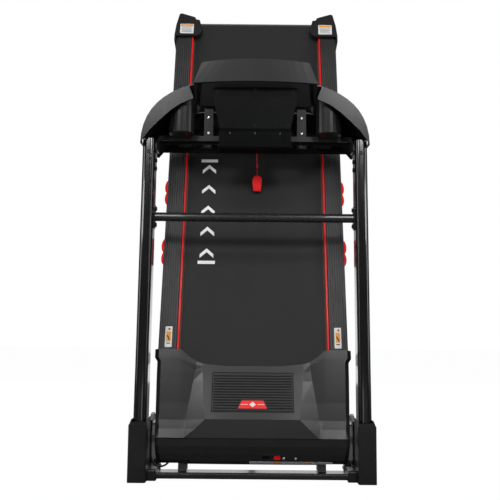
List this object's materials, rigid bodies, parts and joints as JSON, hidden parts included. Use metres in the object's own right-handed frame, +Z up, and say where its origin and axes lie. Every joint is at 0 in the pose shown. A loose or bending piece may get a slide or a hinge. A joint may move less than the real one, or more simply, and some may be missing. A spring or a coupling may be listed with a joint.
{
  "type": "folding motorised treadmill",
  "caption": "Folding home treadmill with its deck raised: a belt deck with motor hood hinged in a floor frame, gas lift strut, uprights and a console with cup holders and a safety key.",
  "frame": {"origin": "on the floor, at the middle of the folded machine's bounding box", "axes": "+Z up, +Y from the motor end to the user's end, +X across to the right seen from the motor end"},
  "size_m": [0.782, 1, 1.717],
  "materials": {
    "frame_paint": "gloss black powder coat",
    "upright_paint": "high gloss black paint",
    "deck_steel": "satin black powder coat",
    "hood_plastic": "fine textured black moulding",
    "boot_plastic": "glossy black moulding",
    "console_plastic": "semi-gloss dark silver grey moulding",
    "visor_plastic": "smooth satin grey moulding",
    "panel_plastic": "fine textured black moulding",
    "vent_plastic": "satin black moulding",
    "rail_plastic": "ribbed satin black moulding",
    "strip_red": "glossy red strip",
    "switch_red": "glossy red moulding",
    "cord_red": "braided red cord",
    "cushion_red": "translucent red elastomer",
    "belt_rubber": "black belt with a diamond texture",
    "foot_rubber": "matt black rubber",
    "cable_rubber": "black cable sheath",
    "roller_steel": "turned steel",
    "rod_chrome": "polished rod",
    "board_wood": "phenolic-faced fibreboard"
  },
  "bodies": {
    "base": {"base_side_left": "frame_paint", "base_side_right": "frame_paint", "base_foot_left": "foot_rubber", "base_foot_right": "foot_rubber", "base_front_tube": "frame_paint", "base_mid_tube": "frame_paint", "corner_block_left": "hood_plastic", "corner_block_right": "hood_plastic", "boot_left": "boot_plastic", "boot_right": "boot_plastic", "upright_left": "upright_paint", "upright_right": "upright_paint", "crossbar": "frame_paint", "console_tray": "console_plastic", "visor": "visor_plastic", "display_panel": "panel_plastic", "cup_holder_left": "console_plastic", "cup_holder_right": "console_plastic", "console_beam": "deck_steel", "control_box": "panel_plastic", "lower_cover": "panel_plastic", "pulse_grip_left": "panel_plastic", "pulse_grip_right": "panel_plastic", "console_cable": "cable_rubber"},
    "deck": {"deck_frame_left": "deck_steel", "deck_frame_right": "deck_steel", "pivot_tube": "frame_paint", "deck_cross_tube": "deck_steel", "rear_foot_left": "foot_rubber", "rear_foot_right": "foot_rubber", "running_board": "board_wood", "running_belt": "belt_rubber", "motor": "deck_steel", "belly_pan": "hood_plastic", "foot_rail_left": "rail_plastic", "foot_rail_right": "rail_plastic", "rail_strip_left": "strip_red", "rail_strip_right": "strip_red", "end_cap_left": "hood_plastic", "end_cap_right": "hood_plastic", "cushion_front_left": "cushion_red", "cushion_front_right": "cushion_red", "cushion_rear_left": "cushion_red", "cushion_rear_right": "cushion_red", "hood": "hood_plastic", "vent_panel": "vent_plastic", "mains_inlet": "vent_plastic"},
    "drive_roller": {"drive_roller": "roller_steel"},
    "tail_roller": {"tail_roller": "roller_steel"},
    "motor_pulley": {"motor_pulley": "roller_steel"},
    "power_switch": {"power_switch": "switch_red"},
    "start_button": {"start_button": "switch_red"},
    "stop_button": {"stop_button": "panel_plastic"},
    "safety_key": {"safety_key": "switch_red", "lanyard": "cord_red", "lanyard_clip": "switch_red"},
    "strut_cylinder": {"strut_cylinder": "frame_paint"},
    "strut_rod": {"strut_rod": "rod_chrome"},
    "transport_wheel_left": {"transport_wheel_left": "foot_rubber"},
    "transport_wheel_right": {"transport_wheel_right": "foot_rubber"}
  },
  "joints": [
    {"name": "deck_fold", "type": "hinge", "parent": "base", "child": "deck", "pos_m": [0, -0.4, 0.1], "axis": [-1, 0, 0], "range_deg": [0, 75.2], "deforming": ["console_cable"]},
    {"name": "drive_roller_spin", "type": "hinge", "parent": "deck", "child": "drive_roller", "pos_m": [0, -0.39594, 0.29545], "axis": [1, 0, 0], "continuous": true},
    {"name": "tail_roller_spin", "type": "hinge", "parent": "deck", "child": "tail_roller", "pos_m": [0, -0.03722, 1.66681], "axis": [1, 0, 0], "continuous": true},
    {"name": "motor_spin", "type": "hinge", "parent": "deck", "child": "motor_pulley", "pos_m": [-0.16, -0.40164, 0.19559], "axis": [1, 0, 0], "continuous": true},
    {"name": "power_switch_rock", "type": "hinge", "parent": "deck", "child": "power_switch", "pos_m": [0.078, -0.47696, 0.07689], "axis": [1, 0, 0], "range_deg": [0, 8]},
    {"name": "start_press", "type": "slide", "parent": "base", "child": "start_button", "axis": [0, -0.9245, -0.3812], "range_m": [0, 0.002], "stiffness_N_per_m": 900, "springref_m": -0.001},
    {"name": "stop_press", "type": "slide", "parent": "base", "child": "stop_button", "axis": [0, -0.9245, -0.3812], "range_m": [0, 0.002], "stiffness_N_per_m": 900, "springref_m": -0.001},
    {"name": "safety_key_pull", "type": "slide", "parent": "base", "child": "safety_key", "axis": [0, 0.9245, 0.3812], "range_m": [0, 0.008]},
    {"name": "strut_pivot", "type": "hinge", "parent": "base", "child": "strut_cylinder", "pos_m": [0, 0.3, 0.048], "axis": [1, 0, 0], "range_deg": [0, 28.6]},
    {"name": "strut_slide", "type": "slide", "parent": "strut_cylinder", "child": "strut_rod", "axis": [0, 0.8563, -0.5165], "range_m": [0, 0.3022]},
    {"name": "wheel_left_spin", "type": "hinge", "parent": "base", "child": "transport_wheel_left", "pos_m": [-0.313, -0.36, 0.026], "axis": [1, 0, 0], "continuous": true},
    {"name": "wheel_right_spin", "type": "hinge", "parent": "base", "child": "transport_wheel_right", "pos_m": [0.313, -0.36, 0.026], "axis": [1, 0, 0], "continuous": true}
  ],
  "couplings": [
    {"joint": "tail_roller_spin", "follows": "drive_roller_spin", "ratio": 1.1707},
    {"joint": "motor_spin", "follows": "drive_roller_spin", "ratio": 2.2857},
    {"joint": "strut_pivot", "follows": "deck_fold", "ratio": 0.3794},
    {"joint": "strut_slide", "follows": "deck_fold", "m_per_rad": 0.23016}
  ]
}
